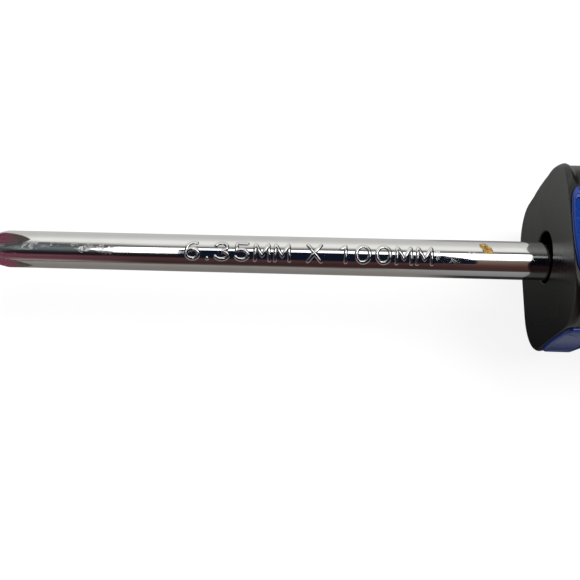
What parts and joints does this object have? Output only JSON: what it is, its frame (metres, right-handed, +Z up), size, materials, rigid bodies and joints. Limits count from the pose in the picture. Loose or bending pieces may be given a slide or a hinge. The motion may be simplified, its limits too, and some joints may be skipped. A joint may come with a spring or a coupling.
{
  "type": "screwdriver",
  "caption": "Fixed screwdriver with a round chromed blade, a cross tip and a square two-colour handle with rounded lobes, a waist and a palm swell.",
  "frame": {"origin": "bottom centre of the bounding box, on the surface that the tool lies on", "axes": "the blade points along -X and the handle along +X, +Z is up, and the tool lies on one flat of its handle"},
  "size_m": [0.208, 0.0276, 0.0277],
  "materials": {
    "chrome": "bright chrome plate with fine scratches",
    "black_plastic": "glossy moulded black",
    "blue_plastic": "high-gloss blue",
    "nylon": "plain moulded nylon"
  },
  "bodies": {
    "root": {"blade": "chrome", "tang_carrier": "nylon", "handle_body": "black_plastic", "inlay_top": "blue_plastic", "inlay_left": "blue_plastic", "inlay_bottom": "blue_plastic", "inlay_right": "blue_plastic", "end_cap": "blue_plastic", "end_disc": "black_plastic"}
  },
  "joints": []
}
